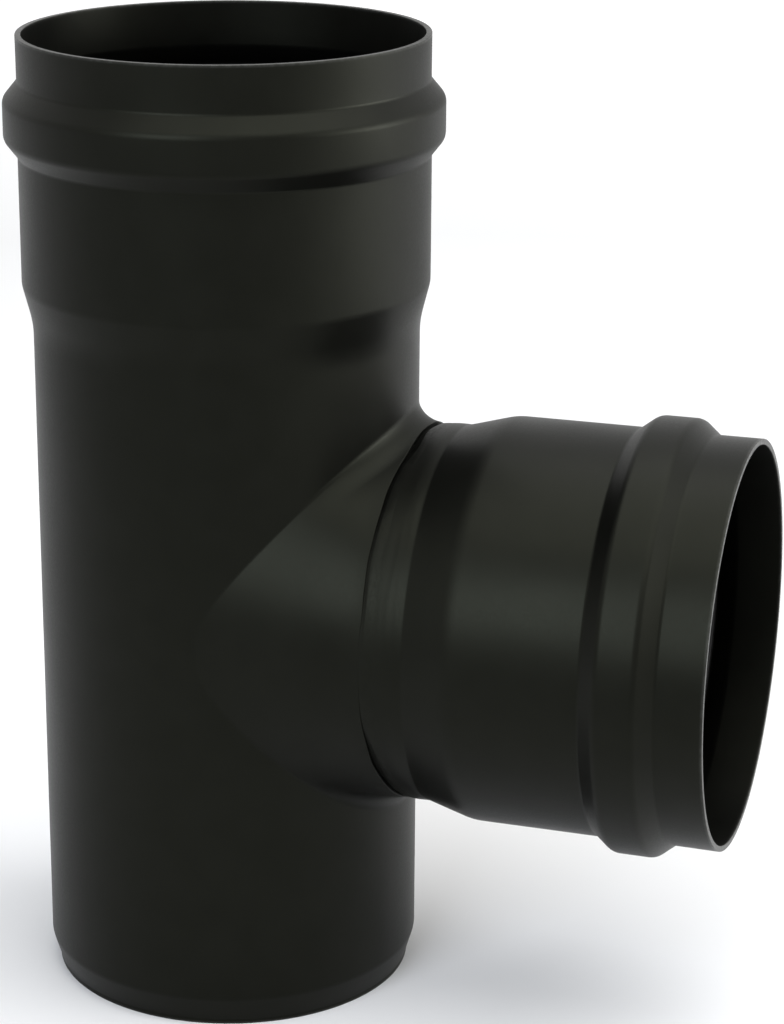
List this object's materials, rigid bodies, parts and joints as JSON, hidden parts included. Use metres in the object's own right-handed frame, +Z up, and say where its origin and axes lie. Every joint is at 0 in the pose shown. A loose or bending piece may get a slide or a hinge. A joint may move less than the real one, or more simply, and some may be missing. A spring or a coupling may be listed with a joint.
{
  "type": "stove pipe tee",
  "caption": "Straight run of single-wall black stove pipe with a male end below, a beaded socket above and a welded side branch ending in a matching beaded socket, each with a lip seal.",
  "frame": {"origin": "middle of the part's box, on the plane that the male end stands on", "axes": "+Z up the run from the male end to the socket, +X out along the branch, +Y across both"},
  "size_m": [0.1556, 0.0898, 0.2024],
  "materials": {
    "run_tube": "satin black enamel",
    "branch_socket": "satin black enamel",
    "branch_weld": "satin black enamel over the weld",
    "run_seal": "matte black silicone",
    "branch_seal": "matte black silicone"
  },
  "bodies": {
    "root": {"run_tube": "run_tube", "branch_socket": "branch_socket", "branch_weld": "branch_weld", "run_seal": "run_seal", "branch_seal": "branch_seal"}
  },
  "joints": []
}
